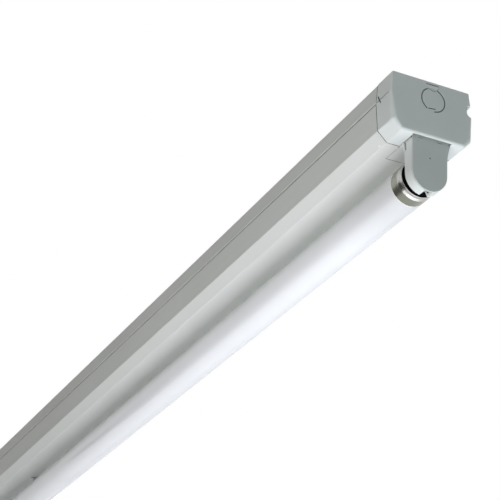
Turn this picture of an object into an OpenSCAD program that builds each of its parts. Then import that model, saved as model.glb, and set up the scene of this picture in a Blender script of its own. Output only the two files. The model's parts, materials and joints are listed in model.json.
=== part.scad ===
// Batten light: a long sheet steel housing for one straight fluorescent lamp, to fix to a ceiling.
// The origin is the middle of the flat back, +Z points up to the ceiling, and the lamp lies along X.

/* [Lamp] */
// Length of the lamp between its two cap faces
lamp_len = 1199.4; // [894.6:0.1:1763.8]
// Diameter of the glass tube
tube_d = 26; // [25:0.1:27]
// Thickness of the glass
glass_t = 0.8; // [0.6:0.1:1.1]
// Length of a metal lamp cap
lamp_cap_len = 11.6; // [11:0.1:14]
// Thickness of the sheet of a lamp cap
lamp_cap_t = 0.4; // [0.3:0.05:0.5]
// Distance between the centres of the two pins of a lamp cap
pin_pitch = 12.7; // [12.2:0.1:13.2]
// Diameter of a lamp pin
pin_d = 2.35; // [2.2:0.05:2.6]
// Length of a lamp pin outside the cap face
pin_len = 7.1; // [6.8:0.1:7.4]

/* [Housing] */
// Width of the flat back
back_w = 55.3; // [53:0.1:57]
// Width at the crease in the sides, where the housing is widest
crease_w = 58.7; // [58:0.1:62]
// Width at the top of the bottom chamfers
waist_w = 57.4; // [55:0.1:58]
// Width of the flat floor
floor_w = 44.6; // [42:0.1:48]
// Drop from the ceiling to the crease
crease_drop = 14.3; // [12.5:0.1:15]
// Drop from the ceiling to the top of the chamfers
waist_drop = 33.8; // [32:0.1:35]
// Drop from the ceiling to the underside of the floor
body_h = 40.4; // [39.5:0.1:44]
// Thickness of the folded sheet steel
sheet_t = 0.6; // [0.5:0.05:0.8]
// Outer radius of a bend in the sheet
bend_r = 1.1; // [0.9:0.1:1.6]
// Width of the folded lips that meet at the crease
lip_w = 5; // [4:0.1:6]

/* [End caps] */
// Length of a moulded end cap outside the housing
end_cap_len = 17.5; // [16:0.1:22]
// Wall thickness of an end cap
cap_wall = 1.6; // [1.4:0.1:2]
// Length of the tongue that goes into the housing
tongue_len = 8; // [6:0.5:9]
// Diameter of the knockout in the end face
knock_d = 17.4; // [15:0.1:19]
// Width of the groove round the knockout
knock_groove_w = 0.8; // [0.6:0.1:1.2]
// Depth of the groove round the knockout
knock_groove_depth = 0.7; // [0.4:0.1:0.9]
// Drop from the ceiling to the centre of the knockout
knock_drop = 12.8; // [12:0.1:14]

/* [Lampholders] */
// Drop from the ceiling to the axis of the lamp
lamp_drop = 59.8; // [58.5:0.1:64]
// Distance from the end face in to the lampholder
holder_inset = 5; // [4.5:0.1:7]
// Depth of a lampholder along the lamp
holder_depth = 9.2; // [8.8:0.1:11]
// Width of a lampholder
holder_w = 24.6; // [23.6:0.1:26]
// Drop from the lamp axis to the tip of a lampholder
holder_tip_drop = 13.7; // [13:0.1:15]
// Wall thickness of a lampholder
holder_wall = 1.5; // [1.2:0.1:1.8]
// Gap between a lampholder and the lamp cap face
holder_lamp_gap = 4.2; // [4:0.1:4.5]
// Diameter of a rotor
rotor_d = 17.2; // [16.6:0.1:18]
// Length of the plate that carries a lampholder
carrier_len = 28.2; // [24.5:0.1:30]
// Width of the plate that carries a lampholder
carrier_w = 26.6; // [25.8:0.1:30]

/* [Gear] */
// Length of the closed ballast case
ballast_len = 250; // [200:1:260]
// Width of the ballast
ballast_w = 30; // [26:0.5:32]
// Height of the ballast
ballast_h = 21; // [18:0.5:24]
// Distance from the middle of the housing to the ballast plate
ballast_offset = 86; // [80:1:90]
// Length of the mains terminal block
block_len = 34; // [28:0.5:36]
// Diameter of an insulated lead
lead_d = 2; // [1.6:0.1:2.2]

/* [Fixings] */
// Distance between the two outer fixing slots
fixing_pitch = 800; // [780:1:820]
// Distance between the two middle fixing slots
middle_pitch = 50.8; // [50:0.1:52]
// Width of an outer fixing slot
fixing_slot_w = 5.5; // [4.5:0.1:6.5]
// Overall length of an outer fixing slot
fixing_slot_len = 14; // [12:0.5:18]
// Width of a middle fixing slot
middle_slot_w = 4.5; // [4:0.1:5]
// Overall length of a middle fixing slot
middle_slot_len = 9; // [8:0.5:10]
// Diameter of the cable hole in the back
entry_d = 20; // [18:0.1:21]
// Bore of the bush in the cable hole
bush_bore_d = 11; // [9:0.1:12]

/* [Hidden] */

// Colours as the photograph shows them
steel_white = "#e6e9e8";
plastic_white = "#eef0f0";
glass_white = "#fbfcff";
metal_grey = "#9a9b96";
zinc_grey = "#b9bcbf";
brass_yellow = "#c9a95b";
soft_black = "#1d1d1e";

// Clearances
fit_gap = 0.3;
rotor_play = 0.1;
seam_gap = 0.2;
end_seam = 0.5;
cut_over = 1;

// Finer values of the housing
bend_steps = 4;
round_fn = 48;
small_fn = 24;
dimple_r = 2;
dimple_depth = 0.35;
dimple_inset = 7.3;
dimple_chamfer_share = 0.1;

// Places along the lamp, from the middle outwards
lamp_face_inset = holder_inset + holder_depth + holder_lamp_gap;
end_x = lamp_len / 2 + lamp_face_inset;
seam_x = end_x - end_cap_len;
face_x = end_x - lamp_face_inset;
holder_front_x = end_x - holder_inset;
holder_back_x = holder_front_x - holder_depth;
pin_tip_x = face_x + pin_len;

// Section of the housing, from the left crease round the floor to the right crease
half_back = back_w / 2;
half_crease = crease_w / 2;
half_waist = waist_w / 2;
half_floor = floor_w / 2;
widest = max(half_back, half_crease, half_waist);
spine_path = [
    [-half_crease + lip_w, -crease_drop], [-half_crease, -crease_drop], [-half_back, 0],
    [half_back, 0], [half_crease, -crease_drop], [half_crease - lip_w, -crease_drop]
];
cover_path = [
    [half_crease - lip_w, -crease_drop - seam_gap], [half_crease, -crease_drop - seam_gap],
    [half_waist, -waist_drop], [half_floor, -body_h], [-half_floor, -body_h],
    [-half_waist, -waist_drop], [-half_crease, -crease_drop - seam_gap],
    [-half_crease + lip_w, -crease_drop - seam_gap]
];
// The whole outline, with the inside on the right hand of the walk
body_outline = [
    [-half_crease, -crease_drop], [-half_back, 0], [half_back, 0], [half_crease, -crease_drop],
    [half_waist, -waist_drop], [half_floor, -body_h], [-half_floor, -body_h],
    [-half_waist, -waist_drop]
];

// Cover fastener
cover_post_x = -120;
cover_post_d = 7;
cover_screw_d = 3.9;
cover_screw_len = 8;
cover_head_d = 9;
cover_head_h = 2.2;
screw_slot_w = 1;
screw_slot_depth = 0.8;

// Edge radii of an end cap, at its ceiling edge, crease, chamfer and floor
cap_radii = [0.8, 1.6, 3.6, 2.4];
cap_fn = 36;
side_groove_w = 0.6;
side_groove_depth = 0.3;
side_groove_inset = 3;
recess_w = 9.2;
recess_top_drop = 2.4;
recess_h = 3.8;
recess_tilt = 18;
recess_line_w = 0.45;
recess_line_depth = 0.6;
recess_line_drop = 1.8;
notch_drop = 9.1;
notch_h = 8.2;
notch_depth = 4.05;
notch_r = 3;
notch_reach = 7.3;
slit_w = 1.05;
slit_len = 7.4;
slit_inset = 14.2;
slit_rise = 1;
slit_tilt = 28;
knock_offset = 0.8;
knock_web_w = 5.2;
knock_web_angle = -15;
pry_w = 0.6;
pry_len = 5.4;
pry_depth = 1.1;
pry_offset = -1.2;
pry_drop = 6.5;
pry_tilt = 6.6;
carrier_slot_inset = 1.2;
carrier_slot_gap = 0.4;
tongue_t = 1.3;

// Lampholder
holder_plate_t = 1.2;
holder_r = holder_w / 2;
holder_mid_z = -(lamp_drop + holder_tip_drop - holder_r);
entry_slot_w = pin_d + 2 * fit_gap;
entry_mouth_w = 6.4;
entry_mouth_h = 3.4;
holder_lean = 4.6;
lean_level = 12;
foot_flare = 1.9;
foot_h = 11.6;
foot_len = 3;
foot_steps = 5;
neck_h = 7;
neck_wall = 1.4;
neck_inset = 1.1;
plate_rise = 3.8;
lug_out = 0.8;
lug_h = 2.4;
hook_out = 1.6;
hook_h = 6.6;
hook_slit_w = 0.8;
hook_slit_h = 5.1;
mark_w = 3.4;
mark_h = 0.45;
mark_rise = 0.55;
mark_spread = 6.9;
dot_d = 1.1;
dot_drop = 11.4;
face_ring_w = 1.4;
face_ring_h = 0.6;

// Rotor
rotor_flange_out = 1.3;
rotor_stand = 3.2;
rotor_back_gap = 0.1;
rotor_slot_w = pin_d + 2 * fit_gap;
rotor_dish_r = 3;

// Contacts
contact_t = 0.4;
contact_w = 3.6;
contact_below = 3;
cage_h = 7;
cage_w = 4.4;
cage_t = 0.4;

// Carrier
carrier_t = cap_wall;
carrier_inset = 5.6;
carrier_notch_d = 1.6;
carrier_notch_inset = 19;
carrier_front_x = end_x - carrier_inset;
carrier_back_x = carrier_front_x - carrier_len;
carrier_tab_out = 2.2;
carrier_tab_in = 0.5;
carrier_tab_t = 1.2;
post_t = 2;
post_w = 20;
post_inset = 27;
post_foot_len = 12;
rib_t = 1.6;
rib_len = 7;
carrier_screw_d = 3.5;
pan_head_d = 6.4;
pan_head_h = 2;
pan_top_share = 0.7;

// Lamp
rim_r_share = 0.93;
neck_r = tube_d / 2 - 0.7;
cap_edge = 0.35;
cap_step = [2.8, 3.1, 3.5, 4.2];
insulator_t = 1.8;
insulator_inset = 0.3;
glass_end_inset = 3;
stem_r = [5, 2.6];
stem_len = 24;
coil_reach = 12;
coil_w = 11;
coil_d = 1.8;
cathode_wire_d = 0.8;

// Ballast
ballast_plate_over = 22;
ballast_end_len = 15;
ballast_sheet = 0.6;
ballast_lid_skirt = 6;
ballast_lid_gap = 0.1;
terminal_h = 12;
mains_poles = 3;
lamp_poles = 4;
pole_pitch = 6;
board_t = 1.6;
board_gap = 3.2;
choke_len_share = 0.11;
choke_w_share = 0.7;
choke_places_share = [0.2, 0.5, 0.8];
capacitor_d = 10;
capacitor_places_share = [0.34, 0.66];
component_h_share = 0.5;

// Terminal block and earth point
block_x = -75;
block_w = 24;
block_h = 16;
block_pitch = 8;
block_wire_d = 3.4;
block_wire_z = -7;
block_screw_d = 3.2;
block_screw_depth = 5;
earth_x = 56;
stud_d = 4;
stud_len = 13;
nut_across = 7;
nut_h = 3.2;
washer_d = 9;
washer_t = 0.8;
tag_t = 0.8;
tag_len = 14;

// Leads
clip_wall = 0.9;
lead_sides = 8;
elbow_steps = 4;
elbow_reach = 8;
elbow_leg_share = 0.45;
lead_z = -(sheet_t + lead_d / 2 + fit_gap);
run_y = ballast_w / 2 + fit_gap + clip_wall + lead_d / 2;
lane_share = 1.15;
earth_lane_share = 1.3;
run_step = lane_share * lead_d;
mains_run_y = run_y - lead_d - clip_wall - rotor_play;
earth_run_y = mains_run_y - earth_lane_share * lead_d;
turn_len = 10;
drop_inset = 46;
bend_inset = 23;
bend_y = 13.5;
bend_z = -25;
neck_z = -body_h + neck_h + lead_d;
clip_pitch = 160;
clip_len = 6;

// Cable bush
bush_flange_out = 3;
bush_flange_t = 1.6;
bush_depth = 6;
bush_wall = 1.6;

// Spare knockouts in the back
spare_x = 300;
spare_groove_w = 0.6;
spare_groove_depth = 0.3;

// Vector helpers for a folded sheet: side is 1 where the inside is on the right hand of the walk
function unit(v) = v / norm(v);
function normal(a, b, side) = side * [unit(b - a).y, -unit(b - a).x];
function miter(n, m) = (n + m) / (1 + n * m);
function offset_point(pts, i, d, side) =
    i == 0 ? pts[0] + d * normal(pts[0], pts[1], side) :
    i == len(pts) - 1 ? pts[i] + d * normal(pts[i - 1], pts[i], side) :
    pts[i] + d * miter(normal(pts[i - 1], pts[i], side), normal(pts[i], pts[i + 1], side));
function offset_path(pts, d, side) = [for (i = [0:len(pts) - 1]) offset_point(pts, i, d, side)];
function around(pts, i) = pts[(i + len(pts)) % len(pts)];
function inset_ring(pts, d) = [
    for (i = [0:len(pts) - 1])
        pts[i] + d * miter(normal(around(pts, i - 1), pts[i], 1), normal(pts[i], around(pts, i + 1), 1))
];
function turn_of(a, p, b) = acos(max(-1, min(1, unit(p - a) * unit(b - p))));
function bend_arc(a, p, b, r) =
    let (
        turn = turn_of(a, p, b),
        back = r * tan(turn / 2),
        start = p - back * unit(p - a),
        side = sign((p.x - a.x) * (b.y - p.y) - (p.y - a.y) * (b.x - p.x)),
        into = side * [-unit(p - a).y, unit(p - a).x],
        middle = start + r * into
    )
    [for (k = [0:bend_steps])
        let (s = turn * k / bend_steps)
        middle - r * cos(s) * into + r * sin(s) * unit(p - a)];
function bent(pts, r) = [
    pts[0],
    for (i = [1:len(pts) - 2]) each bend_arc(pts[i - 1], pts[i], pts[i + 1], r),
    pts[len(pts) - 1]
];
function reversed(pts) = [for (i = [len(pts) - 1:-1:0]) pts[i]];
function sheet_ring(path, side) =
    let (outer = bent(path, bend_r))
    concat(outer, reversed(bent(offset_path(path, sheet_t, side), bend_r - sheet_t)));

// Placing helpers
module along_x(x_from, length) {
    translate([x_from, 0, 0]) rotate([90, 0, 90]) linear_extrude(length) children();
}
module at_end(far) {
    rotate([0, 0, far ? 180 : 0]) children();
}
module box(low, high) {
    translate(low) cube(high - low);
}
module slot_hole(x, width, length) {
    for (s = [-1, 1]) translate([x + s * (length - width) / 2, 0, -sheet_t - cut_over])
        cylinder(h = sheet_t + 2 * cut_over, d = width, $fn = round_fn);
    box([x - (length - width) / 2, -width / 2, -sheet_t - cut_over],
        [x + (length - width) / 2, width / 2, cut_over]);
}
// A turned shape on the lamp axis: points are radius and distance inwards from the cap face
module turned(points) {
    translate([face_x, 0, -lamp_drop]) rotate([0, -90, 0]) rotate_extrude($fn = 96) polygon(points);
}
// A lead through a list of points, with round elbows: one ring of points at each step of the route
function elbow(a, p, b) =
    let (
        reach = min(elbow_reach, elbow_leg_share * norm(p - a), elbow_leg_share * norm(b - p)),
        from = p - reach * unit(p - a),
        to = p + reach * unit(b - p)
    )
    [for (k = [0:elbow_steps])
        let (s = k / elbow_steps)
        (1 - s) * (1 - s) * from + 2 * s * (1 - s) * p + s * s * to];
function eased(pts) = [
    pts[0],
    for (i = [1:len(pts) - 2]) each elbow(pts[i - 1], pts[i], pts[i + 1]),
    pts[len(pts) - 1]
];
function heading(pts, i) =
    i == 0 ? unit(pts[1] - pts[0]) :
    i == len(pts) - 1 ? unit(pts[i] - pts[i - 1]) :
    unit(unit(pts[i] - pts[i - 1]) + unit(pts[i + 1] - pts[i]));
function square_to(v, t) = unit(v - (v * t) * t);
function ring_sides(pts) = [
    for (i = 0, v = square_to([0, 0.1, 1], heading(pts, 0)); i < len(pts);
        i = i + 1, v = i < len(pts) ? square_to(v, heading(pts, i)) : v) v
];
module lead(points) {
    route = eased(points);
    sides = ring_sides(route);
    n = lead_sides;
    rings = [for (i = [0:len(route) - 1])
        let (u = sides[i], w = cross(heading(route, i), u))
        for (k = [0:n - 1]) route[i] + lead_d / 2 * (cos(360 * k / n) * u + sin(360 * k / n) * w)];
    last = n * (len(route) - 1);
    walls = [for (i = [0:len(route) - 2], k = [0:n - 1])
        let (a = n * i + k, b = n * i + (k + 1) % n)
        each [[a, a + n, b + n], [a, b + n, b]]];
    ends = [for (k = [1:n - 2]) each [[0, k, k + 1], [last, last + k + 1, last + k]]];
    polyhedron(rings, concat(walls, ends));
}
module pan_head(d, h) {
    difference() {
        union() {
            cylinder(h = h / 2, d = d, $fn = small_fn);
            translate([0, 0, h / 2]) cylinder(h = h / 2, d1 = d, d2 = pan_top_share * d, $fn = small_fn);
        }
        box([-d, -screw_slot_w / 2, h - screw_slot_depth], [d, screw_slot_w / 2, h + cut_over]);
    }
}

// Back channel of the housing, folded from sheet
module spine() {
    color(steel_white) difference() {
        along_x(-seam_x + end_seam, 2 * (seam_x - end_seam)) polygon(sheet_ring(spine_path, 1));
        for (s = [-1, 1]) {
            slot_hole(s * fixing_pitch / 2, fixing_slot_w, fixing_slot_len);
            slot_hole(s * middle_pitch / 2, middle_slot_w, middle_slot_len);
            translate([s * (end_x - post_inset - post_t - post_foot_len / 2), 0, -sheet_t - cut_over])
                cylinder(h = sheet_t + 2 * cut_over, d = carrier_screw_d + rotor_play, $fn = round_fn);
            translate([s * spare_x, 0, -spare_groove_depth]) difference() {
                cylinder(h = sheet_t, d = entry_d, $fn = round_fn);
                translate([0, 0, -cut_over])
                    cylinder(h = 2 * sheet_t + cut_over, d = entry_d - 2 * spare_groove_w, $fn = round_fn);
            }
        }
        translate([0, 0, -sheet_t - cut_over])
            cylinder(h = sheet_t + 2 * cut_over, d = entry_d, $fn = round_fn);
    }
}

// Front channel of the housing, which hides the gear
module cover() {
    color(steel_white) difference() {
        along_x(-seam_x + end_seam, 2 * (seam_x - end_seam)) polygon(sheet_ring(cover_path, 1));
        for (far = [false, true]) at_end(far) {
            box([carrier_back_x - fit_gap, -carrier_w / 2, -body_h - cut_over],
                [end_x, carrier_w / 2, -body_h + sheet_t + cut_over]);
            for (s = [-1, 1]) dimple(s);
        }
        translate([cover_post_x, 0, -body_h - cut_over])
            cylinder(h = sheet_t + 2 * cut_over, d = cover_screw_d + fit_gap, $fn = round_fn);
    }
}
// A pressed dimple in the chamfer, which snaps over the tongue of the end cap
module dimple(s) {
    low = [half_floor, -body_h];
    high = [half_waist, -waist_drop];
    out = normal(high, low, -1);
    spot = low + dimple_chamfer_share * (high - low) + (dimple_r - dimple_depth) * out;
    translate([seam_x - dimple_inset, s * spot.x, spot.y]) sphere(r = dimple_r, $fn = small_fn);
}

// Post that takes the cover screw
module cover_post() {
    color(zinc_grey) translate([cover_post_x, 0, -body_h + sheet_t]) difference() {
        cylinder(h = body_h - 2 * sheet_t, d = cover_post_d, $fn = round_fn);
        translate([0, 0, -cut_over])
            cylinder(h = cover_screw_len + 2 * cut_over, d = cover_screw_d + rotor_play, $fn = round_fn);
    }
}
module cover_screw() {
    color(zinc_grey) translate([cover_post_x, 0, -body_h]) {
        rotate([180, 0, 0]) pan_head(cover_head_d, cover_head_h);
        cylinder(h = cover_screw_len, d = cover_screw_d, $fn = round_fn);
    }
}

// Moulded end cap: square at the seam and rounded towards the end face
module end_cap_block() {
    radii = [cap_radii[1], cap_radii[0], cap_radii[0], cap_radii[1],
        cap_radii[2], cap_radii[3], cap_radii[3], cap_radii[2]];
    hull() {
        along_x(seam_x, cap_wall) polygon(body_outline);
        for (i = [0:len(body_outline) - 1]) {
            r = radii[i];
            p = inset_ring(body_outline, r)[i];
            translate([end_x - r, p.x, p.y]) sphere(r = r, $fn = cap_fn);
        }
        for (s = [-1, 1]) translate([end_x - cap_radii[0], s * (half_back - cap_radii[0]), -cap_radii[0]])
            cylinder(h = cap_radii[0], r = cap_radii[0], $fn = cap_fn);
    }
}
module knockout() {
    translate([end_x - knock_groove_depth, knock_offset, -knock_drop]) rotate([0, 90, 0]) difference() {
        cylinder(h = knock_groove_depth + cut_over, d = knock_d, $fn = 64);
        translate([0, 0, -cut_over])
            cylinder(h = knock_groove_depth + 3 * cut_over, d = knock_d - 2 * knock_groove_w, $fn = 64);
        rotate([0, 0, knock_web_angle])
            box([0, -knock_web_w / 2, -cut_over], [knock_d, knock_web_w / 2, 2 * cut_over]);
    }
    translate([end_x, knock_offset + pry_offset, -knock_drop - pry_drop]) rotate([pry_tilt, 0, 0])
        box([-pry_depth, -pry_len / 2, -pry_w / 2], [cut_over, pry_len / 2, pry_w / 2]);
}
// Half-moon grip above the knockout, deepest at its round lower edge, with a fine line over it
module thumb_recess() {
    translate([end_x, knock_offset, -recess_top_drop]) rotate([0, recess_tilt, 0]) rotate([90, 0, 90])
        linear_extrude(recess_h) intersection() {
            scale([1, 2 * recess_h / recess_w]) circle(r = recess_w / 2, $fn = 64);
            translate([-recess_w / 2, -recess_w]) square([recess_w, recess_w]);
        }
    translate([end_x, knock_offset, -recess_line_drop])
        box([-recess_line_depth, -recess_w / 2, -recess_line_w / 2],
            [cut_over, recess_w / 2, recess_line_w / 2]);
}
// Cut-out at the crease of one corner, open to the side and to the end face
module corner_notch() {
    in_y = half_crease - notch_depth;
    low_z = -notch_drop - notch_h;
    along_x(end_x - notch_reach, notch_reach + cut_over) polygon(concat(
        [[widest + cut_over, low_z], [widest + cut_over, -notch_drop], [in_y, -notch_drop]],
        [for (k = [0:bend_steps]) let (a = 90 * k / bend_steps)
            [in_y + notch_r * (1 - cos(a)), low_z + notch_r * (1 - sin(a))]]
    ));
}
module end_cap() {
    color(plastic_white) difference() {
        union() {
            difference() {
                end_cap_block();
                along_x(seam_x - cut_over, end_cap_len - cap_wall + cut_over)
                    polygon(inset_ring(body_outline, cap_wall));
            }
            tongue();
        }
        box([carrier_back_x - fit_gap, -carrier_w / 2 - carrier_slot_gap, -body_h - cut_over],
            [end_x - carrier_slot_inset, carrier_w / 2 + carrier_slot_gap,
                -body_h + cap_wall + cut_over]);
        knockout();
        thumb_recess();
        corner_notch();
        translate([end_x - slit_inset, -half_crease, -crease_drop + slit_rise]) rotate([0, -slit_tilt, 0])
            box([-slit_w / 2, half_crease - widest - cut_over, -slit_len / 2],
                [slit_w / 2, cap_wall + cut_over, slit_len / 2]);
        for (s = [-1, 1]) translate([0, s * half_crease, -crease_drop])
            box([seam_x - cut_over, -side_groove_depth, -side_groove_w / 2],
                [end_x - side_groove_inset, side_groove_depth, side_groove_w / 2]);
    }
}
module tongue() {
    difference() {
        along_x(seam_x - tongue_len, tongue_len + cap_wall)
            polygon(inset_ring(body_outline, sheet_t + fit_gap));
        along_x(seam_x - tongue_len - cut_over, tongue_len + cap_wall + 2 * cut_over)
            polygon(inset_ring(body_outline, sheet_t + fit_gap + tongue_t));
        box([seam_x - tongue_len - cut_over, -half_crease, -crease_drop - seam_gap - sheet_t - fit_gap],
            [seam_x, half_crease, -crease_drop + sheet_t + fit_gap]);
        box([seam_x - tongue_len - cut_over, -carrier_w / 2 - carrier_tab_out - fit_gap, -body_h],
            [seam_x + cap_wall + cut_over, carrier_w / 2 + carrier_tab_out + fit_gap,
                -body_h + carrier_tab_t + carrier_t + cap_wall]);
    }
}

// Forked plate in the floor that carries a lampholder, with its post to the spine
module holder_carrier() {
    half = carrier_w / 2 - fit_gap;
    window = holder_r - neck_inset + fit_gap;
    post_x = end_x - post_inset;
    color(plastic_white) difference() {
        union() {
            box([carrier_back_x, -half, -body_h], [carrier_front_x, half, -body_h + carrier_t]);
            box([carrier_back_x - carrier_tab_out, -half - carrier_tab_out, -body_h + sheet_t],
                [seam_x - tongue_len - fit_gap, half + carrier_tab_out,
                    -body_h + sheet_t + carrier_tab_t]);
            for (s = [-1, 1]) translate([0, s * (half + (carrier_tab_out - carrier_tab_in) / 2), 0])
                box([seam_x + fit_gap, -(carrier_tab_out + carrier_tab_in) / 2, -body_h + cap_wall],
                    [carrier_front_x - rib_t, (carrier_tab_out + carrier_tab_in) / 2,
                        -body_h + cap_wall + carrier_tab_t]);
            box([post_x - post_t, -post_w / 2, -body_h + sheet_t], [post_x, post_w / 2, -sheet_t]);
            box([post_x - post_t - post_foot_len, -post_w / 2, -sheet_t - post_t],
                [post_x, post_w / 2, -sheet_t]);
            for (s = [-1, 1]) translate([0, s * (post_w - rib_t) / 2, 0])
                along_x_rib(post_x - post_t);
        }
        box([holder_back_x - fit_gap, -window, -body_h - cut_over],
            [carrier_front_x + cut_over, window, -body_h + carrier_t + cut_over]);
        for (s = [-1, 1]) translate([end_x - carrier_notch_inset, s * half, -body_h - cut_over])
            cylinder(h = carrier_t + cut_over, d = carrier_notch_d, $fn = small_fn);
        translate([post_x - post_t - post_foot_len / 2, 0, -sheet_t - post_t - cut_over])
            cylinder(h = post_t + 2 * cut_over, d = carrier_screw_d + rotor_play, $fn = round_fn);
    }
}
// A triangular rib between the post and its foot
module along_x_rib(x) {
    translate([x, rib_t / 2, -sheet_t - post_t]) rotate([90, 0, 0])
        linear_extrude(rib_t) polygon([[0, 0], [-rib_len, 0], [0, -rib_len]]);
}
module carrier_screws() {
    color(zinc_grey) for (far = [false, true]) at_end(far)
        translate([end_x - post_inset - post_t - post_foot_len / 2, 0, -sheet_t - post_t]) {
            rotate([180, 0, 0]) pan_head(pan_head_d, pan_head_h);
            cylinder(h = post_t + sheet_t, d = carrier_screw_d, $fn = round_fn);
        }
}

// Outline of a lampholder: flat sides and a round tip
module holder_outline(inset) {
    translate([0, holder_mid_z]) circle(r = holder_r - inset, $fn = 96);
    translate([-holder_r + inset, holder_mid_z])
        square([2 * (holder_r - inset), -body_h - holder_mid_z]);
}
// Flare of the foot on one side, and the neck that goes up through the floor
module foot_outline() {
    polygon(concat([[holder_r - holder_wall, -body_h], [holder_r - holder_wall, -body_h - foot_h]],
        [for (k = [0:foot_steps]) let (share = k / foot_steps)
            [holder_r + foot_flare * share * share, -body_h - foot_h * (1 - share)]]));
}
module neck_outline() {
    translate([-holder_r + neck_inset, -body_h]) square([2 * (holder_r - neck_inset), neck_h]);
}
// All that lies behind the leaning front of a lampholder, moved back by a distance
module behind_front(back) {
    translate([holder_front_x - back, 0, -body_h - lean_level]) rotate([0, holder_lean, 0])
        box([-2 * holder_depth, -holder_w, -lamp_drop], [0, holder_w, body_h]);
}
module lampholder() {
    color(plastic_white) difference() {
        intersection() {
            union() {
                along_x(holder_back_x, holder_depth) {
                    holder_outline(0);
                    neck_outline();
                }
                along_x(holder_front_x - holder_plate_t - foot_len, holder_depth) foot_outline();
                for (s = [-1, 1]) along_x(holder_back_x, holder_wall) polygon([
                    [s * (holder_r - holder_wall), -body_h], [s * (holder_r + hook_out), -body_h],
                    [s * holder_r, -body_h - hook_h], [s * (holder_r - holder_wall), -body_h - hook_h]
                ]);
                for (s = [-1, 1]) snap_lug(s);
                translate([holder_back_x, 0, -lamp_drop]) rotate([0, -90, 0])
                    cylinder(h = face_ring_h, r = rotor_d / 2 + rotor_play + face_ring_w, $fn = 96);
            }
            behind_front(holder_plate_t);
        }
        intersection() {
            along_x(holder_back_x + holder_wall, holder_depth) holder_outline(holder_wall);
            box([holder_back_x, -holder_r, -lamp_drop - holder_r], [end_x, holder_r, -body_h - cut_over]);
        }
        box([holder_back_x + holder_wall, -holder_r + neck_inset + neck_wall, -body_h - 2 * cut_over],
            [end_x, holder_r - neck_inset - neck_wall, -body_h + neck_h + cut_over]);
        translate([holder_back_x - face_ring_h - cut_over, 0, -lamp_drop]) rotate([0, 90, 0])
            cylinder(h = holder_wall + face_ring_h + 2 * cut_over, d = rotor_d + 2 * rotor_play, $fn = 96);
        box([holder_back_x - face_ring_h - cut_over, -entry_slot_w / 2, holder_mid_z - 2 * holder_r],
            [end_x, entry_slot_w / 2, -lamp_drop]);
        along_x(holder_back_x - cut_over, holder_depth + 2 * cut_over) polygon([
            [-entry_slot_w / 2, holder_mid_z - holder_r + entry_mouth_h],
            [entry_slot_w / 2, holder_mid_z - holder_r + entry_mouth_h],
            [entry_mouth_w / 2, holder_mid_z - holder_r - cut_over],
            [-entry_mouth_w / 2, holder_mid_z - holder_r - cut_over]
        ]);
        for (s = [-1, 1]) translate([holder_back_x + holder_wall, s * holder_r, -body_h])
            box([0, -holder_wall - cut_over, -hook_slit_h],
                [hook_slit_w, holder_wall + cut_over, seam_gap]);
    }
}
// A hook that snaps over the carrier plate
module snap_lug(s) {
    translate([holder_back_x + holder_wall, s * (holder_r - neck_inset), -body_h + carrier_t + seam_gap])
        rotate([90, 0, 90]) linear_extrude(holder_depth / 2)
            polygon([[0, 0], [s * lug_out, 0], [0, lug_h]]);
}
// Leaning plate that closes a lampholder on the side of the end face, with the slits of its two
// catches and a test hole
module holder_plate() {
    slot_reach = carrier_w / 2 + carrier_slot_gap - fit_gap;
    color(plastic_white) difference() {
        intersection() {
            along_x(holder_back_x, 2 * holder_depth) {
                holder_outline(0);
                foot_outline();
                translate([-holder_r, -body_h]) square([holder_r + slot_reach, plate_rise]);
            }
            behind_front(0);
        }
        behind_front(holder_plate_t);
        for (s = [-1, 1]) translate([0, s * mark_spread, -body_h + mark_rise])
            box([holder_back_x, -mark_w / 2, -mark_h / 2], [end_x, mark_w / 2, mark_h / 2]);
        translate([holder_back_x, 0, -body_h - dot_drop]) rotate([0, 90, 0])
            cylinder(h = 2 * holder_depth, d = dot_d, $fn = small_fn);
    }
}

// Turning part of a lampholder, with the slot that takes the lamp pins
module rotor() {
    back = pin_tip_x - rotor_back_gap;
    flange_x = holder_back_x + holder_wall + fit_gap;
    color(plastic_white) difference() {
        translate([0, 0, -lamp_drop]) rotate([0, 90, 0]) {
            translate([0, 0, holder_back_x - rotor_stand])
                cylinder(h = back - holder_back_x + rotor_stand, d = rotor_d, $fn = 96);
            translate([0, 0, flange_x])
                cylinder(h = back - flange_x, d = rotor_d + 2 * rotor_flange_out, $fn = 96);
        }
        box([holder_back_x - rotor_stand - cut_over, -rotor_d, -lamp_drop - rotor_slot_w / 2],
            [back + cut_over, rotor_d, -lamp_drop + rotor_slot_w / 2]);
    }
    color(plastic_white) translate([holder_back_x - rotor_stand + fit_gap, 0, -lamp_drop])
        rotate([0, 90, 0]) cylinder(h = back - holder_back_x + rotor_stand - fit_gap,
            r = rotor_dish_r, $fn = round_fn);
}

// Leaf contacts behind the rotor, each with its wire cage
module contacts() {
    leaf_x = pin_tip_x + fit_gap;
    cage_x = holder_front_x - holder_plate_t - fit_gap;
    color(brass_yellow) for (s = [-1, 1]) translate([0, s * pin_pitch / 2, 0]) {
        box([leaf_x, -contact_w / 2, -lamp_drop - contact_below],
            [leaf_x + contact_t, contact_w / 2, -body_h - cage_h]);
        difference() {
            box([leaf_x, -cage_w / 2, -body_h - cage_h], [cage_x, cage_w / 2, -body_h]);
            box([leaf_x + cage_t, -cage_w / 2 + cage_t, -body_h - cage_h + cage_t],
                [cage_x - cage_t, cage_w / 2 - cage_t, -body_h + cut_over]);
        }
    }
}

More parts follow.
